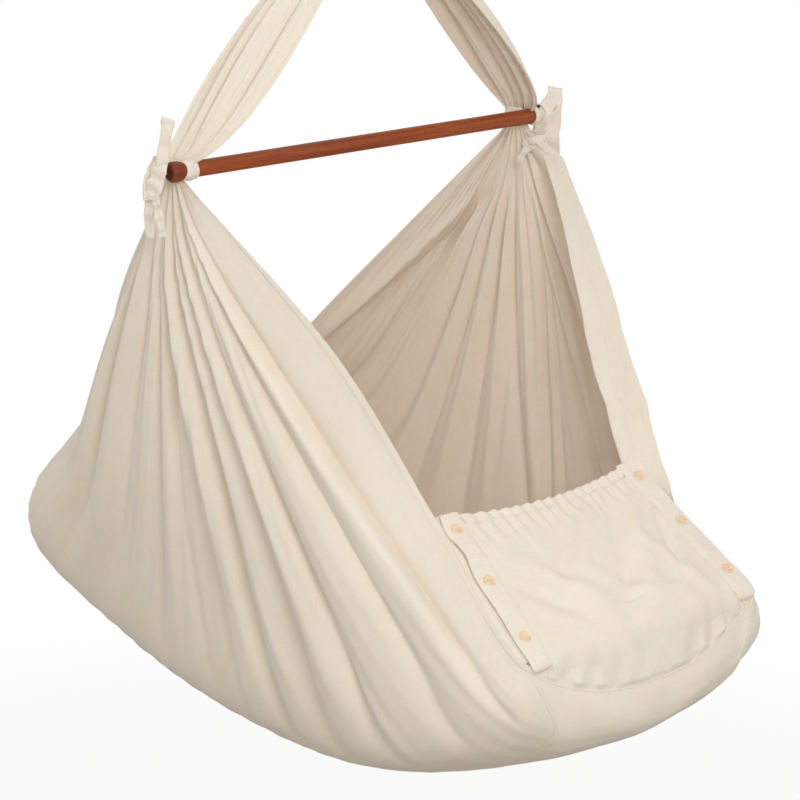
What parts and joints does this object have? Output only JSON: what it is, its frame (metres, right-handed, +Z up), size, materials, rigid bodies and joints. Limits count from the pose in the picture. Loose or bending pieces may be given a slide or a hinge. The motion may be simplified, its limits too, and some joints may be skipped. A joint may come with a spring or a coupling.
{
  "type": "hanging baby cradle",
  "caption": "Gathered cotton hammock cradle lashed to a wooden spreader bar and hung from a ring, with a buttoned flap over the foot end.",
  "frame": {"origin": "where a hook bears inside the top of the hanging ring", "axes": "+Z up, +X towards the foot end with the buttoned flap, Y along the spreader bar"},
  "size_m": [1.0208, 0.6442, 1.1454],
  "materials": {
    "cotton_cloth": "matt plain weave, undyed",
    "cotton_trim": "matt doubled weave, topstitched",
    "stained_wood": "satin stain",
    "ring_steel": "polished",
    "button_resin": "soft gloss",
    "elastic_rubber": "woven elastic"
  },
  "bodies": {
    "hanger": {"hanging_ring": "ring_steel"},
    "hammock": {"sling_crown": "cotton_trim", "sling_near": "cotton_cloth", "sling_far": "cotton_cloth", "spreader_bar": "stained_wood", "bar_tie_near": "cotton_trim", "bar_tie_far": "cotton_trim", "side_panel_near": "cotton_cloth", "side_panel_far": "cotton_cloth", "head_end_panel": "cotton_cloth", "base_panel": "cotton_cloth", "foot_gusset": "cotton_cloth", "button_facing_near": "cotton_trim", "button_facing_far": "cotton_trim", "button_near_1": "button_resin", "button_near_2": "button_resin", "button_near_3": "button_resin", "button_far_1": "button_resin", "button_far_2": "button_resin", "button_far_3": "button_resin"},
    "flap": {"foot_flap": "cotton_cloth", "flap_placket_near": "cotton_trim", "flap_placket_far": "cotton_trim", "elastic_casing": "cotton_trim", "casing_elastic": "elastic_rubber"}
  },
  "joints": [
    {"name": "cradle_rock", "type": "hinge", "parent": "hanger", "child": "hammock", "pos_m": [0, 0, -0.0565], "axis": [1, 0, 0], "range_deg": [-15, 15]},
    {"name": "flap_open", "type": "hinge", "parent": "hammock", "child": "flap", "pos_m": [0.49317, 0, -0.86775], "axis": [0, 1, 0], "range_deg": [0, 200], "deforming": ["flap_placket_near", "flap_placket_far"]}
  ]
}
